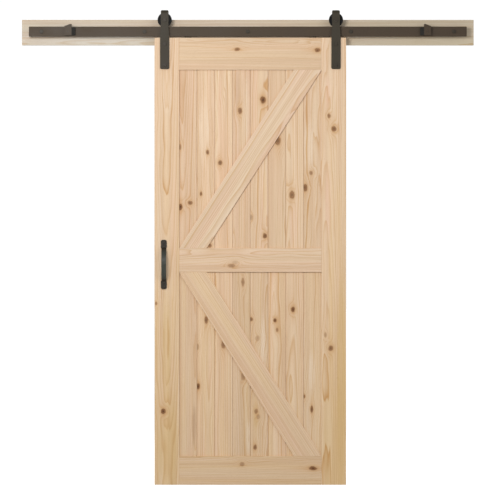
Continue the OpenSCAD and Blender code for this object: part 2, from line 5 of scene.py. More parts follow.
import bpy
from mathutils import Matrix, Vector


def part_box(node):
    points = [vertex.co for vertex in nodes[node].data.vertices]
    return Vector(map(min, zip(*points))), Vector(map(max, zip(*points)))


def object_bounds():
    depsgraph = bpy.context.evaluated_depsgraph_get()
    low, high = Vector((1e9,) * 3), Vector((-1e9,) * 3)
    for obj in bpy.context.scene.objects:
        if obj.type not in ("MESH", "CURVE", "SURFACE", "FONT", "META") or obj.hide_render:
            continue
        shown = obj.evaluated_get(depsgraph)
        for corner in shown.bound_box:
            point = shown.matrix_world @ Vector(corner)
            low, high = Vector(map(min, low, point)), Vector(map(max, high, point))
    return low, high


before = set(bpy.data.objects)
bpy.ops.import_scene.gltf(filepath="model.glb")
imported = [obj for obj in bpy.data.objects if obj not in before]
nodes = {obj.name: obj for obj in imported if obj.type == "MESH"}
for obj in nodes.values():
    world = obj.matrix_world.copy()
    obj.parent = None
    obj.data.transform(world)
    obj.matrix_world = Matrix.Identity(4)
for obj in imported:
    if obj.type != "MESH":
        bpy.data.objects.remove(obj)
cad_low, cad_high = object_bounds()

# ---- The studio ----------------------------------------------------------------------
# A white sweep lit for a catalogue: a pale painted floor, an even bright surround, and
# soft boxes high on the left, on the right and behind. The camera stands square to the
# door, a long way back, so that the boards keep their true proportions.

scene = bpy.context.scene
scene.view_settings.view_transform = "Standard"

PICTURE_MARGIN = 1.1044
LENS_MM = 300.0
SENSOR_MM = 36.0
CAMERA_RIGHT = 0.0105
CAMERA_DOWN = 0.0122

middle = (cad_low + cad_high) / 2
door_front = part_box("left_stile")[0].y
picture_width = (cad_high.x - cad_low.x) * PICTURE_MARGIN

lens = bpy.data.cameras.new("studio_camera")
lens.lens = LENS_MM
lens.sensor_width = SENSOR_MM
camera = bpy.data.objects.new("studio_camera", lens)
camera.location = (
    middle.x + CAMERA_RIGHT,
    door_front - picture_width * LENS_MM / SENSOR_MM,
    middle.z - CAMERA_DOWN,
)
camera.rotation_euler = (math.pi / 2, 0.0, 0.0)
scene.collection.objects.link(camera)
scene.camera = camera


def soft_box(name, place, side, watts, colour):
    """A square diffuser that faces the middle of the door."""
    lamp = bpy.data.lights.new(name, "AREA")
    lamp.shape = "SQUARE"
    lamp.size = side
    lamp.energy = watts
    lamp.color = colour
    stand = bpy.data.objects.new(name, lamp)
    stand.location = place
    stand.rotation_euler = (middle - Vector(place)).to_track_quat("-Z", "Y").to_euler()
    scene.collection.objects.link(stand)


soft_box("key_soft_box", (-1.25, -3.4, 0.5), side=1.2, watts=82.0, colour=(1.0, 0.985, 0.965))
soft_box("fill_soft_box", (3.2, -3.6, 0.1), side=2.2, watts=25.0, colour=(0.98, 0.99, 1.0))
soft_box("back_soft_box", (1.6, 4.2, 1.2), side=2.4, watts=95.0, colour=(1.0, 1.0, 1.0))


class Wire:
    """One socket in a finish's node tree. Sums written with wires add their Math nodes."""

    def __init__(self, tree, socket=None):
        self.tree = tree
        self.socket = socket

    def node(self, kind, settings, sockets, output=0):
        """Add a node: first its settings, then the values or wires of its sockets."""
        made = self.tree.nodes.new("ShaderNode" + kind)
        for name, value in settings.items():
            if name == "stops":
                ramp = made.color_ramp.elements
                while len(ramp) < len(value):
                    ramp.new(1.0)
                for stop, (position, colour) in zip(ramp, value):
                    stop.position = position
                    stop.color = (*colour, 1.0)
            else:
                setattr(made, name, value)
        for name, value in sockets.items():
            if isinstance(value, Wire):
                self.tree.links.new(value.socket, made.inputs[name])
            else:
                made.inputs[name].default_value = value
        return Wire(self.tree, made.outputs[output])

    def maths(self, operation, *values):
        return self.node("Math", {"operation": operation}, dict(enumerate(values)))

    def __add__(self, other):
        return self.maths("ADD", self, other)

    def __sub__(self, other):
        return self.maths("SUBTRACT", self, other)

    def __rsub__(self, other):
        return self.maths("SUBTRACT", other, self)

    def __mul__(self, other):
        return self.maths("MULTIPLY", self, other)

    def __truediv__(self, other):
        return self.maths("DIVIDE", self, other)

    def __rtruediv__(self, other):
        return self.maths("DIVIDE", other, self)

    def __pow__(self, power):
        return self.maths("POWER", self, power)

    __radd__ = __add__
    __rmul__ = __mul__

    def least(self, other):
        return self.maths("MINIMUM", self, other)

    def most(self, other):
        return self.maths("MAXIMUM", self, other)

    def sine(self):
        return self.maths("SINE", self)

    def between(self, low, high):
        """This wire's 0 to 1 spread from low to high."""
        return self * (high - low) + low

    def rise(self, start, end):
        """0 up to start, 1 from end, and smooth between."""
        sockets = {"Value": self, "From Min": start, "From Max": end}
        return self.node("MapRange", {"interpolation_type": "SMOOTHSTEP"}, sockets)

    def vector(self, operation, other, output=0):
        return self.node("VectorMath", {"operation": operation}, {0: self, 1: other}, output)

    def axes(self):
        """The x, y and z of a vector."""
        return [self.node("SeparateXYZ", {}, {0: self}, i) for i in range(3)]

    def place(self):
        """Where each point of the surface is, in metres."""
        return self.node("TexCoord", {}, {}, "Object")

    def noise(self, stretch, detail=2.0, roughness=0.5):
        """Noise with this many grains to a metre on each axis."""
        place = self.vector("MULTIPLY", stretch)
        sockets = {"Vector": place, "Scale": 1.0, "Detail": detail, "Roughness": roughness}
        return self.node("TexNoise", {}, sockets)

    def line_noise(self, detail):
        """Noise that changes with this number alone."""
        sockets = {"W": self, "Scale": 1.0, "Detail": detail}
        return self.node("TexNoise", {"noise_dimensions": "1D"}, sockets)

    def patches(self, stretch, detail, roughness, low, high):
        """Noise as patches: 0 where it is under low, and 1 where it is over high."""
        return self.noise(stretch, detail, roughness).rise(low, high)

    def blend(self, start, end):
        """The colour start where this wire is 0, and end where it is 1."""
        return self.node("Mix", {"data_type": "RGBA"}, {0: self, 6: start, 7: end}, 2)

    def tint(self, colour, strength):
        """This colour multiplied by another, by as much as strength says."""
        settings = {"data_type": "RGBA", "blend_type": "MULTIPLY"}
        return self.node("Mix", settings, {0: strength, 6: self, 7: colour}, 2)

    def bumps(self, strength, distance):
        """This height in a surface, for a shader's Normal."""
        return self.node("Bump", {}, {"Strength": strength, "Distance": distance, "Height": self})


def rgb(red, green, blue):
    return (red, green, blue, 1.0)


def new_finish(name, constants):
    """A material, its Principled BSDF with the constants set, and a wire to build on."""
    material = bpy.data.materials.new(name)
    material.use_nodes = True
    shader = material.node_tree.nodes["Principled BSDF"]
    for socket, value in constants.items():
        shader.inputs[socket].default_value = value
    return material, shader, Wire(material.node_tree)


def plug(shader, **wires):
    """Link wires to the shader's sockets, named with _ for each space."""
    for name, wire in wires.items():
        wire.tree.links.new(wire.socket, shader.inputs[name.replace("_", " ")])


FLOOR_GAP = 0.012
FLOOR_REACH = 60.0
FLOOR_CORNERS = 48
FLOOR_GRAIN = (0.7, 0.7, 0.7)
FLOOR_GREYS = (rgb(0.84, 0.84, 0.84), rgb(0.88, 0.88, 0.88))
FLOOR_PAINT = {
    "Roughness": 0.9,
    "Specular IOR Level": 0.1,
    "Emission Strength": 0.62,
    "Emission Color": rgb(1.0, 1.0, 1.0),
}

floor_z = cad_low.z - FLOOR_GAP
turns = [math.tau * i / FLOOR_CORNERS for i in range(FLOOR_CORNERS)]
rim = [(FLOOR_REACH * math.cos(a), FLOOR_REACH * math.sin(a), floor_z) for a in turns]
floor_mesh = bpy.data.meshes.new("studio_floor")
floor_mesh.from_pydata(rim, [], [list(range(FLOOR_CORNERS))])
floor = bpy.data.objects.new("studio_floor", floor_mesh)
scene.collection.objects.link(floor)
floor.visible_diffuse = False

floor_paint, shader, wire = new_finish("floor_paint", FLOOR_PAINT)
plug(shader, Base_Color=wire.place().noise(FLOOR_GRAIN).blend(*FLOOR_GREYS))
floor_mesh.materials.append(floor_paint)

# The surround's brightness from straight down, at 0, to straight up, at 1.
SURROUND_STOPS = [
    (0.46, (0.40, 0.40, 0.40)),
    (0.49, (1.04, 1.04, 1.04)),
    (0.53, (1.04, 1.04, 1.04)),
    (0.62, (0.58, 0.58, 0.59)),
    (1.00, (0.50, 0.51, 0.53)),
]
surround = bpy.data.worlds.new("surround")
surround.use_nodes = True
scene.world = surround
wire = Wire(surround.node_tree)
height = wire.node("TexCoord", {}, {}, "Generated").axes()[2]
glow = wire.node("ValToRGB", {"stops": SURROUND_STOPS}, {"Fac": height * 0.5 + 0.5})
plug(surround.node_tree.nodes["Background"], Color=glow)

# ---- The header board ----------------------------------------------------------------
# A planed pine board screwed flat to the studs above the opening. It spreads the load
# of the track's lag bolts along the wall, and is left bare like the door below it.

PLANED_ARRIS = 0.0010
WELD_REACH = 0.00002
SHARP_DEGREES = 40


def ease(names, width, segments=2):
    """Take the sharp arris off CAD pieces, as a plane or a tumbler does."""
    for name in names:
        weld = nodes[name].modifiers.new("weld", "WELD")
        weld.merge_threshold = WELD_REACH
        bevel = nodes[name].modifiers.new("arris", "BEVEL")
        bevel.width = width
        bevel.segments = segments
        bevel.limit_method = "ANGLE"
        bevel.angle_limit = math.radians(SHARP_DEGREES)
        bevel.use_clamp_overlap = True
        shade = nodes[name].modifiers.new("shade", "WEIGHTED_NORMAL")
        shade.keep_sharp = True


def wear(names, finish):
    """Put a finish on CAD pieces."""
    for name in names:
        nodes[name].material_slots[0].material = finish


# How the log lies behind each board, in metres. The pith is the log's centre, and a taper
# is how far it wanders for each metre of board.
PITH_ACROSS = (-0.08, 0.08)
PITH_DEPTH = (0.03, 0.09)
TAPER_ACROSS = (-0.012, 0.012)
TAPER_DEPTH = (-0.02, 0.02)
RING_WIDTH = (0.0038, 0.0068)

# How the rings stray from true circles: grains to a metre, and metres.
WOBBLE = (13.0, 13.0, 1.8)
WOBBLE_DEPTH = 0.030
RIPPLE = (60.0, 60.0, 7.0)
RIPPLE_DEPTH = 0.0035
YEARS_GRAIN = 70.0
YEARS_DEPTH = 0.012

# How one year's ring differs from the next, and how soon its late wood ends.
YEAR_APART = 7.31
YEAR_STRENGTH = 1.5
LATE_WOOD_END = 9.0

# Patches and fibres: grains to a metre across, behind and along the board, then detail,
# roughness, and for patches where they start and where they are full. Each board reads
# them somewhere of its own.
NOISE_SPREAD = (-20, 20)
STREAKS = ((46.0, 14.0, 0.9), 3.0, 0.6, 0.34, 0.68)
BLOTCHES = ((20.0, 11.0, 1.2), 2.0, 0.5, 0.38, 0.62)
SAPWOOD = ((24.0, 24.0, 0.8), 2.0, 0.5, 0.35, 0.62)
FLECKS = ((1300.0, 1300.0, 70.0), 1.0, 0.5, 0.66, 0.74)
FIBRES = ((900.0, 900.0, 16.0), 3.0, 0.65)
RAGGED_EDGE = ((85.0, 85.0, 55.0), 4.0, 0.6)
RAGGED_DEPTH = 0.95

# Colours of pine, and how much of each a board shows.
EARLY_WOOD = (0.735, 0.570, 0.405)
ROSY_WOOD = (0.730, 0.510, 0.370)
GOLDEN_WOOD = (0.700, 0.510, 0.290)
HONEY_WOOD = (0.620, 0.430, 0.200)
HEART_WOOD = (0.600, 0.415, 0.265)
PALE_WOOD = (0.790, 0.650, 0.500)
# A darker, dull wood used as painted shade where less light falls.
PAINTED_SHADE_WOOD = (0.600, 0.445, 0.290)
RESIN_WOOD = (0.470, 0.300, 0.180)
LATE_WOOD = (0.780, 0.600, 0.390)
AMBER_WOOD = (0.560, 0.325, 0.150)
FIBRE_SHADE = (0.80, 0.74, 0.66)
FLECK_BROWN = (0.30, 0.16, 0.07)
BOARD_SPREAD = (-0.045, 0.045)
ROSY_SHARE = (0.2, 0.8)
SAP_SHARE = (0.4, 1.2)
HEART_SHARE = 0.5
LATE_SHARE = 0.95
FLECK_SHARE = 0.35
FIBRE_START = 0.40
FIBRE_GAIN = 1.2

# A knot from its middle, at 0, to its bark, at 1.
KNOT_STOPS = [
    (0.00, (0.046, 0.016, 0.006)),
    (0.28, (0.112, 0.043, 0.016)),
    (0.62, (0.240, 0.108, 0.042)),
    (0.86, (0.155, 0.066, 0.024)),
    (1.00, (0.350, 0.195, 0.090)),
]
KNOT_RING_BROWN = (0.40, 0.21, 0.09)
KNOT_RINGS = 26.0
KNOT_RING_SHARE = 0.10
KNOT_EDGE = 1.25
KNOT_EDGE_GAIN = 2.1
KNOT_PULL = 0.85
KNOT_PULL_FADE = 0.045
KNOT_LIFT = 0.8
HALO_FADE = 0.22
HALO_SHARE = 0.60
HALO_MOST = 0.80
TRAIL_WIDE = 0.9
TRAIL_LONG = 0.22
TRAIL_SHARE = 0.6

# How a streak of other wood ends, and how the board's own streaks break it up.
STAIN_EDGE = 1.3
STAIN_FADE = 0.9
STAIN_RAGGED = 0.5
STAIN_SHARE = (0.6, 1.1)

# The sanded surface.
PINE_GLOSS = {"Specular IOR Level": 0.2}
PINE_ROUGHNESS = (0.62, 0.74)
KNOT_POLISH = 0.10
FIBRE_HEIGHT = 0.5
LATE_HEIGHT = 0.35
KNOT_HEIGHT = 0.5
PINE_BUMP = (0.6, 0.0004)


def pine(name, lean=0.0, knots=(), stains=(), tone=(1.0, 1.0, 1.0), gold_and_shade=(0.2, 0.2), sawn=None):
    """Bare pine for one board, whose grain runs lean radians from +Z towards +X.

    knots are (x, z, half width, half length, darkness), in metres from the board's middle,
    the width across the grain and the length along it. stains are streaks of other wood,
    given in the same way, with a strength and a colour. tone tints the whole board. gold
    says how yellow it is at the low and at the high end of the grain: partly the wood's own
    colour, and partly painted shade where a board is yellower and darker for getting less
    light. sawn is where the pith lies: how far across, how far behind the face, and how that
    depth changes along the board. Left out, each board gets a place of its own."""
    low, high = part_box(name)
    half_length = max(high.x - low.x, high.z - low.z) / 2
    chance = random.Random(name)
    pith_across = chance.uniform(*PITH_ACROSS)
    pith_depth = chance.choice((-1, 1)) * chance.uniform(*PITH_DEPTH)
    taper_across = chance.uniform(*TAPER_ACROSS)
    taper_depth = chance.uniform(*TAPER_DEPTH)
    if sawn:
        pith_across, pith_depth, taper_depth = sawn
    ring = chance.uniform(*RING_WIDTH)
    shade = 1 + chance.uniform(*BOARD_SPREAD)
    rosy = chance.uniform(*ROSY_SHARE)

    finish, shader, wire = new_finish("pine_" + name, PINE_GLOSS)
    place = wire.place().vector("SUBTRACT", tuple((low + high) / 2))
    turn = {"Vector": place, "Angle": -lean}
    grain = wire.node("VectorRotate", {"rotation_type": "Y_AXIS"}, turn)
    own = grain.vector("ADD", tuple(chance.uniform(*NOISE_SPREAD) for _ in range(3)))
    across, depth, along = grain.axes()
    fibre = own.noise(*FIBRES)
    streak = own.patches(*STREAKS)
    ragged = (own.noise(*RAGGED_EDGE) - 0.5) * RAGGED_DEPTH

    def away_from(x, z):
        """The way from a mark's middle, turned as the grain is."""
        mark_across = x * math.cos(lean) - z * math.sin(lean)
        mark_along = x * math.sin(lean) + z * math.cos(lean)
        return grain.vector("SUBTRACT", (mark_across, 0.0, mark_along))

    def reach(away, wide, long):
        """How far out that is: 1 at a mark's edge."""
        return away.vector("MULTIPLY", (1 / wide, 0.0, 1 / long)).vector("LENGTH", (0, 0, 0), 1)

    def toned(wood):
        """A colour of wood as this board has it."""
        return rgb(*(part * shade * cast for part, cast in zip(wood, tone)))

    # A branch shows as a knot: the grain parts round it, and the wood there is dark.
    shift = 0.0
    lift = 0.0
    halo = 0.0
    spots = None
    near = None
    for x, z, wide, long, darkness in knots:
        away = away_from(x, z)
        out = reach(away, wide, long) + ragged
        out_4 = out * out * (out * out)
        pull = 1 / (1 + out_4 * KNOT_PULL_FADE)
        shift = away.axes()[0] * pull * KNOT_PULL + shift
        lift = pull * (wide * KNOT_LIFT) + lift
        near = near.least(out) if near else out
        dark = ((KNOT_EDGE - out) * KNOT_EDGE_GAIN).least(1.0).most(0.0) * darkness
        spots = spots.most(dark) if spots else dark
        trail = reach(away, wide / TRAIL_WIDE, long / TRAIL_LONG)
        amber = 1 / (1 + out_4 * HALO_FADE) + TRAIL_SHARE / (1 + trail ** 4)
        halo = amber * darkness + halo

    # Growth rings: each runs from pale early wood to a thin hard line of late wood.
    wobble = (own.noise(WOBBLE) - 0.5) * WOBBLE_DEPTH
    ripple = (own.noise(RIPPLE, 1.0) - 0.5) * RIPPLE_DEPTH
    beside = across - shift + wobble + along * taper_across - pith_across
    behind = depth + along * taper_depth - pith_depth + wobble
    radius = (beside * beside + behind * behind) ** 0.5 + ripple + lift
    years = (radius + (radius * YEARS_GRAIN).line_noise(1.0) * YEARS_DEPTH) / ring
    age = wire.maths("FRACT", years)
    season = (wire.maths("FLOOR", years) * YEAR_APART).line_noise(0.0)
    late = (age * age * age).least((1 - age) * LATE_WOOD_END) * (season * YEAR_STRENGTH)

    # The wood itself, then its streaks, rings, fibres and resin flecks, and the knots on top.
    colour = (own.patches(*BLOTCHES) * rosy).blend(toned(EARLY_WOOD), toned(ROSY_WOOD))
    # Yellower and darker towards one end of the grain: partly the wood's own colour, partly painted
    # shade where the board gets less light.
    golden_and_shade = (along / (2 * half_length) + 0.5).between(*gold_and_shade)
    golden_and_shade = golden_and_shade * own.patches(*SAPWOOD).between(*SAP_SHARE)
    colour = golden_and_shade.least(1.0).blend(colour, toned(GOLDEN_WOOD))
    colour = (streak * HEART_SHARE).blend(colour, toned(HEART_WOOD))
    for x, z, wide, long, strength, wood in stains:
        edge = STAIN_EDGE - reach(away_from(x, z), wide, long) + ragged * STAIN_RAGGED
        patch = edge.rise(0.0, STAIN_FADE) * streak.between(*STAIN_SHARE)
        colour = (patch * strength).least(1.0).blend(colour, toned(wood))
    fibre_mark = ((fibre - FIBRE_START) * FIBRE_GAIN).least(1.0).most(0.0)
    colour = colour.tint(rgb(*LATE_WOOD), late * LATE_SHARE)
    colour = colour.tint(rgb(*FIBRE_SHADE), fibre_mark)
    colour = (own.patches(*FLECKS) * FLECK_SHARE).blend(colour, rgb(*FLECK_BROWN))
    height = fibre * FIBRE_HEIGHT - late * LATE_HEIGHT
    rough = fibre.between(*PINE_ROUGHNESS)
    if knots:
        rings = ((near * KNOT_RINGS).sine() + 1) * KNOT_RING_SHARE
        wood = wire.node("ValToRGB", {"stops": KNOT_STOPS}, {"Fac": near})
        wood = rings.blend(wood, rgb(*KNOT_RING_BROWN))
        colour = (halo * HALO_SHARE).least(HALO_MOST).blend(colour, rgb(*AMBER_WOOD))
        colour = spots.blend(colour, wood)
        height = height + spots * KNOT_HEIGHT
        rough = rough - spots * KNOT_POLISH
    plug(shader, Base_Color=colour, Roughness=rough, Normal=height.bumps(*PINE_BUMP))
    return finish


LEVEL = math.pi / 2
# The wide dull streak darkens the header's right end: painted shade where less light falls. The right
# end also grows yellower, partly wood colour and partly painted shade.
HEADER_STREAKS_AND_SHADE = [
    (1.00, 0.000, 0.200, 0.800, 0.75, PAINTED_SHADE_WOOD),
    (0.92, -0.040, 0.034, 0.280, 0.25, GOLDEN_WOOD),
    (-0.72, -0.016, 0.055, 0.400, 0.60, PALE_WOOD),
]
HEADER_TONE = (0.89, 1.04, 1.21)
HEADER_GOLD_AND_SHADE = (-0.1, 0.7)
header_pine = pine("header_board", LEVEL, (), HEADER_STREAKS_AND_SHADE, HEADER_TONE, HEADER_GOLD_AND_SHADE)
wear(["header_board"], header_pine)
ease(["header_board"], PLANED_ARRIS)

# ---- The track -----------------------------------------------------------------------
# A flat steel bar stood off the header on turned spacers, with a hex lag bolt and a
# washer at each. It is powder coated dark bronze, and the bolts are blackened.

BAR_ARRIS = 0.0008
BOLT_ARRIS = 0.0004
COAT_CLOUDS = ((9.0, 9.0, 9.0), 4.0, 0.6, 0.3, 0.7)
COAT_PALE = 1.22
COAT_PALE_SHARE = 0.5
COAT_DARK = 0.86
COAT_DARK_PART = (0.45, 0.75)
COAT_BUMP = 0.5
COAT_ROUGH_SPREAD = 0.05
COAT_GLOSS = {"Specular IOR Level": 0.2}


def powder_coat(name, colour, rough, grain=900.0, peel=0.00012):
    """Baked powder: a fine orange-peel skin that is never quite one colour."""
    finish, shader, wire = new_finish(name, COAT_GLOSS)
    place = wire.place()
    cloud = place.patches(*COAT_CLOUDS)
    skin = place.noise((grain, grain, grain))
    pale = rgb(*(part * COAT_PALE for part in colour))
    dark = rgb(*(part * COAT_DARK for part in colour))
    coat = (cloud * COAT_PALE_SHARE).blend(rgb(*colour), pale)
    coat = skin.rise(*COAT_DARK_PART).blend(coat, dark)
    gloss = cloud.between(rough - COAT_ROUGH_SPREAD, rough + COAT_ROUGH_SPREAD)
    plug(shader, Base_Color=coat, Roughness=gloss, Normal=skin.bumps(COAT_BUMP, peel))
    return finish


bronze = powder_coat("bronze_powder", (0.0525, 0.0355, 0.0215), rough=0.50)
black_bolt = powder_coat("blackened_bolt", (0.036, 0.028, 0.019), rough=0.42, grain=1500.0, peel=0.00005)
wear(["track", "track_spacers"], bronze)
wear(["track_washers", "track_lag_bolts"], black_bolt)
ease(["track"], BAR_ARRIS)
ease(["track_spacers", "track_washers", "track_lag_bolts"], BOLT_ARRIS)

# ---- The end stops -------------------------------------------------------------------
# A forked steel block over each end of the bar, held by a set screw, with a rubber
# buffer pushed into its inner face. They stop the door before it runs off the track.

STOP_ARRIS = 0.0008
RUBBER_BLACKS = (rgb(0.012, 0.011, 0.009), rgb(0.025, 0.023, 0.020))
RUBBER_BLOOM = (60.0, 60.0, 60.0)
RUBBER_PORES = (1800.0, 1800.0, 1800.0)
RUBBER_BUMP = (0.4, 0.0001)
RUBBER_ROUGHNESS = (0.72, 0.87)
RUBBER_GLOSS = {"Specular IOR Level": 0.2}

rubber, shader, wire = new_finish("buffer_rubber", RUBBER_GLOSS)
bloom = wire.place().noise(RUBBER_BLOOM, 3.0).blend(*RUBBER_BLACKS)
pores = wire.place().noise(RUBBER_PORES, 1.0)
rough = pores.between(*RUBBER_ROUGHNESS)
plug(shader, Base_Color=bloom, Roughness=rough, Normal=pores.bumps(*RUBBER_BUMP))

wear(["left_stop", "right_stop"], bronze)
wear(["left_stop_bumper", "right_stop_bumper"], rubber)
wear(["stop_set_screws"], black_bolt)
ease(["left_stop", "right_stop", "left_stop_bumper", "right_stop_bumper"], STOP_ARRIS)

# ---- The door frame ------------------------------------------------------------------
# Two full-height stiles and three rails of knotty pine, butted and glued with beech
# dowels, sanded and sold unfinished. Branch knots and the turn of the rings show plainly.

# Knots and streaks as pine() wants them, but from the board's lower left corner.
# The stiles' low ends and the bottom rail are made yellower and darker than the top: partly wood colour,
# partly painted shade, the door getting less light low down.
FRAME_BOARDS = {
    "left_stile": {
        "knots": [(0.042, 0.351, 0.012, 0.013, 1.0), (0.008, 0.866, 0.006, 0.008, 0.6)],
        "stains": [
            (0.058, 0.650, 0.022, 0.270, 0.7, HONEY_WOOD),
            (0.036, 0.180, 0.020, 0.170, 0.7, HONEY_WOOD),
            (0.092, 1.250, 0.018, 0.330, 0.5, ROSY_WOOD),
            (0.060, 1.880, 0.026, 0.110, 0.5, PALE_WOOD),
            (0.020, 1.150, 0.014, 0.300, 0.4, PALE_WOOD),
            (0.084, 0.200, 0.034, 0.280, 0.6, HONEY_WOOD),
        ],
        "gold_and_shade": (0.95, 0.05),
        "sawn": (0.002, 0.055, 0.021),
    },
    "right_stile": {
        "knots": [
            (0.036, 1.761, 0.008, 0.011, 0.7),
            (0.060, 1.699, 0.012, 0.014, 0.84),
            (0.045, 0.652, 0.012, 0.014, 0.82),
            (0.019, 0.716, 0.006, 0.012, 0.4),
        ],
        "stains": [
            (0.096, 0.520, 0.024, 0.560, 0.9, HONEY_WOOD),
            (0.033, 1.350, 0.015, 0.180, 0.8, ROSY_WOOD),
            (0.033, 1.870, 0.015, 0.080, 0.7, ROSY_WOOD),
            (0.040, 0.240, 0.020, 0.200, 0.3, PALE_WOOD),
            (0.056, 0.120, 0.070, 0.330, 0.45, HONEY_WOOD),
            (0.080, 1.250, 0.014, 0.240, 0.5, GOLDEN_WOOD),
        ],
        "gold_and_shade": (1.15, -0.15),
        "sawn": (-0.030, 0.050, -0.016),
    },
    "top_rail": {
        "knots": [(0.276, 0.098, 0.008, 0.013, 0.8), (0.660, 0.094, 0.011, 0.014, 0.9)],
        "gold_and_shade": (0.15, 0.15),
        "lean": LEVEL,
    },
    "mid_rail": {
        "knots": [(0.249, 0.030, 0.010, 0.017, 0.55), (0.268, 0.046, 0.008, 0.016, 0.2)],
        "gold_and_shade": (0.0, 0.0),
        "lean": LEVEL,
    },
    "bottom_rail": {
        "knots": [(0.300, 0.098, 0.010, 0.011, 0.5), (0.638, 0.079, 0.010, 0.019, 1.0)],
        "gold_and_shade": (0.7, 0.7),
        "lean": LEVEL,
    },
}
FRAME_ARRIS = 0.0008

for name, look in FRAME_BOARDS.items():
    low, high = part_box(name)
    half = (high - low) / 2
    for kind in ("knots", "stains"):
        look[kind] = [(x - half.x, z - half.z, *rest) for x, z, *rest in look.get(kind, ())]
    wear([name], pine(name, **look))
    ease([name], FRAME_ARRIS)

BEECH_RAYS = (30.0, 1200.0, 1200.0)
BEECH_COLOURS = (rgb(0.60, 0.42, 0.27), rgb(0.48, 0.30, 0.17))
BEECH_ROUGHNESS = (0.6, 0.7)
BEECH_GLOSS = {"Specular IOR Level": 0.3}

beech, shader, wire = new_finish("dowel_beech", BEECH_GLOSS)
rays = wire.place().noise(BEECH_RAYS)
plug(shader, Base_Color=rays.blend(*BEECH_COLOURS), Roughness=rays.between(*BEECH_ROUGHNESS))
wear(["frame_dowels"], beech)

# ---- The planks ----------------------------------------------------------------------
# Tongue and groove pine with a V along each joint, eight to a panel, let into a groove
# round the frame. Each plank is cut from another stick, so its tone and grain differ.

# Knots and streaks from the panel's lower left corner, each on the plank that holds it.
# The lower panel is made yellower and darker than the upper: partly wood colour, partly painted shade,
# as less light falls low on the door.
PANELS = {
    "upper": {
        "rail": "mid_rail",
        "gold_and_shade": (0.2, 0.1),
        "knots": [
            (0.290, 0.655, 0.010, 0.016, 0.8), (0.400, 0.707, 0.013, 0.018, 1.0),
            (0.471, 0.512, 0.013, 0.022, 0.8), (0.135, 0.457, 0.008, 0.011, 0.8),
            (0.004, 0.483, 0.006, 0.014, 0.6), (0.195, 0.407, 0.010, 0.012, 0.8),
            (0.104, 0.259, 0.006, 0.010, 0.8), (0.006, 0.197, 0.009, 0.016, 1.0),
            (0.052, 0.216, 0.012, 0.010, 0.8), (0.147, 0.012, 0.009, 0.009, 0.7),
            (0.342, 0.147, 0.009, 0.014, 0.4), (0.409, 0.059, 0.010, 0.013, 0.9),
            (0.538, 0.254, 0.013, 0.019, 0.8), (0.600, 0.288, 0.012, 0.019, 0.9),
            (0.629, 0.359, 0.009, 0.010, 0.6),
        ],
        "stains": [
            (0.277, 0.754, 0.012, 0.110, 0.55, RESIN_WOOD),
            (0.226, 0.730, 0.006, 0.130, 0.4, RESIN_WOOD),
            (0.194, 0.650, 0.010, 0.160, 0.5, ROSY_WOOD),
            (0.120, 0.560, 0.026, 0.160, 0.7, PALE_WOOD),
            (0.030, 0.700, 0.018, 0.160, 0.4, HEART_WOOD),
            (0.425, 0.790, 0.006, 0.070, 0.4, RESIN_WOOD),
            (0.410, 0.253, 0.009, 0.130, 0.7, GOLDEN_WOOD),
            (0.497, 0.205, 0.005, 0.150, 0.45, RESIN_WOOD),
            (0.548, 0.110, 0.020, 0.110, 0.6, ROSY_WOOD),
            (0.620, 0.480, 0.024, 0.130, 0.7, PALE_WOOD),
            (0.320, 0.640, 0.010, 0.200, 0.6, PALE_WOOD),
            (0.560, 0.560, 0.006, 0.140, 0.4, HEART_WOOD),
        ],
    },
    "lower": {
        "rail": "bottom_rail",
        "gold_and_shade": (0.5, 0.4),
        "knots": [
            (0.304, 0.829, 0.008, 0.020, 0.6), (0.128, 0.648, 0.008, 0.019, 0.8),
            (0.211, 0.531, 0.010, 0.019, 0.7), (0.085, 0.521, 0.009, 0.015, 0.4),
            (0.342, 0.653, 0.010, 0.010, 0.8), (0.457, 0.648, 0.008, 0.010, 1.0),
            (0.467, 0.602, 0.006, 0.010, 0.6), (0.373, 0.562, 0.011, 0.014, 0.3),
            (0.543, 0.700, 0.010, 0.014, 1.0), (0.304, 0.378, 0.010, 0.018, 0.5),
            (0.347, 0.331, 0.008, 0.012, 0.3), (0.090, 0.333, 0.009, 0.016, 1.0),
            (0.595, 0.285, 0.007, 0.009, 0.8), (0.633, 0.223, 0.007, 0.017, 0.9),
            (0.367, 0.212, 0.008, 0.013, 0.6), (0.376, 0.188, 0.009, 0.012, 0.35),
            (0.362, 0.042, 0.008, 0.014, 0.8),
        ],
        "stains": [
            (0.072, 0.140, 0.013, 0.100, 0.60, RESIN_WOOD),
            (0.225, 0.195, 0.008, 0.120, 0.4, HEART_WOOD),
            (0.500, 0.450, 0.014, 0.170, 0.6, HEART_WOOD),
            (0.584, 0.577, 0.010, 0.110, 0.5, HEART_WOOD),
            (0.366, 0.190, 0.013, 0.070, 0.8, HONEY_WOOD),
            (0.632, 0.400, 0.016, 0.100, 0.8, PALE_WOOD),
            (0.400, 0.520, 0.012, 0.160, 0.7, PALE_WOOD),
            (0.020, 0.250, 0.014, 0.200, 0.5, GOLDEN_WOOD),
            (0.330, 0.090, 0.012, 0.090, 0.5, PALE_WOOD),
            (0.150, 0.420, 0.010, 0.180, 0.4, ROSY_WOOD),
        ],
    },
}
PLANK_TONGUE = 0.008

panel_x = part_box("left_stile")[1].x
for panel, look in PANELS.items():
    panel_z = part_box(look["rail"])[1].z
    planks = sorted(n for n in nodes if n.startswith(panel + "_plank"))
    for name in planks:
        low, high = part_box(name)
        centre = (low + high) / 2
        marks = {
            kind: [
                (panel_x + x - centre.x, panel_z + z - centre.z, *rest)
                for x, z, *rest in look[kind]
                if low.x <= panel_x + x < high.x - PLANK_TONGUE
            ]
            for kind in ("knots", "stains")
        }
        wear([name], pine(name, gold_and_shade=look["gold_and_shade"], **marks))

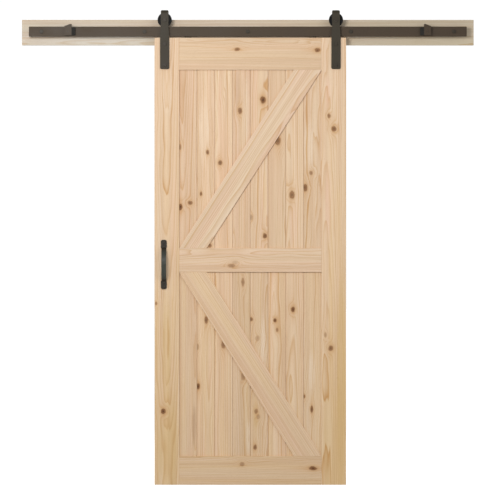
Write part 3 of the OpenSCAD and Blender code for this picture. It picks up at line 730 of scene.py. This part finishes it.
# ---- The braces ----------------------------------------------------------------------
# Two diagonal boards on each face, mitred to the frame and glued over the planks. They
# run from the corners at the right to a point at the middle of the left stile.

BRACE_ARRIS = 0.0006
# The upper braces are toned paler and the lower ones darker: painted light and shade, the door lit more
# towards its top.
BRACE_LOOKS_AND_SHADE = {
    "upper": {"tone": (1.00, 1.03, 1.07), "gold_and_shade": (0.2, 0.1)},
    "lower": {"tone": (0.96, 0.96, 0.96), "gold_and_shade": (0.45, 0.35)},
}


def brace_lean(name):
    """How far a brace leans from upright, taken from its longest true edge."""
    mesh = nodes[name].data
    uses = Counter(key for face in mesh.polygons for key in face.edge_keys)
    sides = [
        mesh.vertices[end].co - mesh.vertices[start].co
        for (start, end), faces in uses.items()
        if faces == 1
    ]
    run = max(sides, key=lambda side: side.length)
    return math.atan(run.x / run.z)


for name in ("upper_brace", "lower_brace", "upper_back_brace", "lower_back_brace"):
    look = BRACE_LOOKS_AND_SHADE[name.split("_")[0]]
    wear([name], pine(name, brace_lean(name), **look))
    ease([name], BRACE_ARRIS)

# ---- The hangers ---------------------------------------------------------------------
# A steel strap bent over each wheel and down both faces of the door, clamped by two
# bolts into barrel nuts at the back. Its powder coat is a shade darker than the track's.

STRAP_ARRIS = 0.0008

strap_coat = powder_coat("strap_powder", (0.0340, 0.0275, 0.0172), rough=0.50)
fasteners = ["hanger_bolts", "hanger_washers", "hanger_barrel_nuts"]
wear(["left_hanger", "right_hanger"], strap_coat)
wear(fasteners, black_bolt)
ease(["left_hanger", "right_hanger"], STRAP_ARRIS)
ease(fasteners, BOLT_ARRIS)

# ---- The rollers ---------------------------------------------------------------------
# A grooved nylon wheel on a sealed bearing runs on the bar's top edge under each strap,
# on a hex bolt with a lock nut and two steel sleeves that keep it in the middle.

WHEEL_ARRIS = 0.0006
BEARING_ARRIS = 0.0003
AXLE_ARRIS = 0.0005
DUST = ((120.0, 120.0, 120.0), 3.0)
DUST_SHADES = (0.8, 1.25)
DUST_ROUGHNESS = 0.08
LATHE_BUMP = (0.35, 0.00005)
NYLON = {"colour": (0.004, 0.004, 0.004), "pitch": 0.0011, "rough": 0.48}
NYLON_GLOSS = {"Specular IOR Level": 0.14}
BEARING = {"colour": (0.56, 0.56, 0.55), "pitch": 0.0007, "rough": 0.24}
BARE_STEEL = {"Metallic": 1.0}


def turned(name, axle_node, constants, colour, pitch, rough):
    """A lathe finish: fine rings about the axle that runs along Y through axle_node."""
    low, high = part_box(axle_node)
    finish, shader, wire = new_finish(name, constants)
    place = wire.place().vector("SUBTRACT", tuple((low + high) / 2))
    x, y, z = place.axes()
    cut = (x * x + z * z) ** 0.5 + y
    tool_mark = (cut * (math.tau / pitch)).sine()
    dust = place.noise(*DUST)
    shades = [rgb(*(part * spread for part in colour)) for spread in DUST_SHADES]
    gloss = dust.between(rough, rough + DUST_ROUGHNESS)
    bump = tool_mark.bumps(*LATHE_BUMP)
    plug(shader, Base_Color=dust.blend(*shades), Roughness=gloss, Normal=bump)
    return finish


for side in ("left", "right"):
    wheel = side + "_wheel"
    bearing = side + "_wheel_bearing"
    wear([wheel], turned(side + "_nylon", wheel, NYLON_GLOSS, **NYLON))
    wear([bearing], turned(side + "_bearing_steel", bearing, BARE_STEEL, **BEARING))
    ease([wheel], WHEEL_ARRIS)
    ease([bearing], BEARING_ARRIS)
zinc = powder_coat("zinc_plate", (0.52, 0.52, 0.50), rough=0.32, grain=1500.0, peel=0.00003)
zinc.node_tree.nodes["Principled BSDF"].inputs["Metallic"].default_value = 1.0
wear(["axle_bolts", "axle_nuts"], black_bolt)
wear(["axle_spacers", "anti_jump_screws"], zinc)
ease(["axle_bolts", "axle_nuts"], AXLE_ARRIS)

# ---- The anti-jump discs -------------------------------------------------------------
# A black nylon disc screwed to the door's top edge behind each wheel. It passes just
# under the bar, so the door can't be lifted off its track by a knock.

DISC_ARRIS = 0.0005

wear(["anti_jump_discs"], turned("disc_nylon", "left_wheel", NYLON_GLOSS, **NYLON))
ease(["anti_jump_discs"], DISC_ARRIS)

# ---- The pull handle -----------------------------------------------------------------
# A forged steel bow on two pads, screwed to the left stile at waist height. It is
# blackened and waxed; the bow is paler and cooler than the pads, partly rubbed by hands
# and partly a painted sheen.

HAMMER_MARKS = ((110.0, 110.0, 75.0), 1.0)
FIRE_SCALE = ((700.0, 700.0, 700.0), 3.0)
SCALE_HEIGHT = 0.06
IRON_BUMP = (0.5, 0.0012)
PAD_IRON = (rgb(0.013, 0.009, 0.005), rgb(0.026, 0.020, 0.012))
BOW_IRON_AND_SHEEN = (rgb(0.018, 0.021, 0.016), rgb(0.044, 0.047, 0.037))
RUBBED_AND_SHEEN_PART = (0.2, 0.7)
IRON_ROUGHNESS = (0.34, 0.50)
IRON_GLOSS = {"Specular IOR Level": 0.26}
HANDLE_ARRIS = 0.0012

low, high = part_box("pull_handle")
iron, shader, wire = new_finish("handle_iron", IRON_GLOSS)
place = wire.place()
hammer = place.noise(*HAMMER_MARKS)
scale = place.noise(*FIRE_SCALE)
proud = (high.y - place.axes()[1]) / (high.y - low.y)
# The bow's paler, cooler iron: partly hand-rubbed wear, partly a painted sheen.
tint = proud.rise(*RUBBED_AND_SHEEN_PART).blend(scale.blend(*PAD_IRON), scale.blend(*BOW_IRON_AND_SHEEN))
bump = (hammer + scale * SCALE_HEIGHT).bumps(*IRON_BUMP)
plug(shader, Base_Color=tint, Roughness=scale.between(*IRON_ROUGHNESS), Normal=bump)
wear(["pull_handle"], iron)
wear(["handle_screws"], black_bolt)
ease(["pull_handle"], HANDLE_ARRIS, segments=3)
ease(["handle_screws"], BOLT_ARRIS)
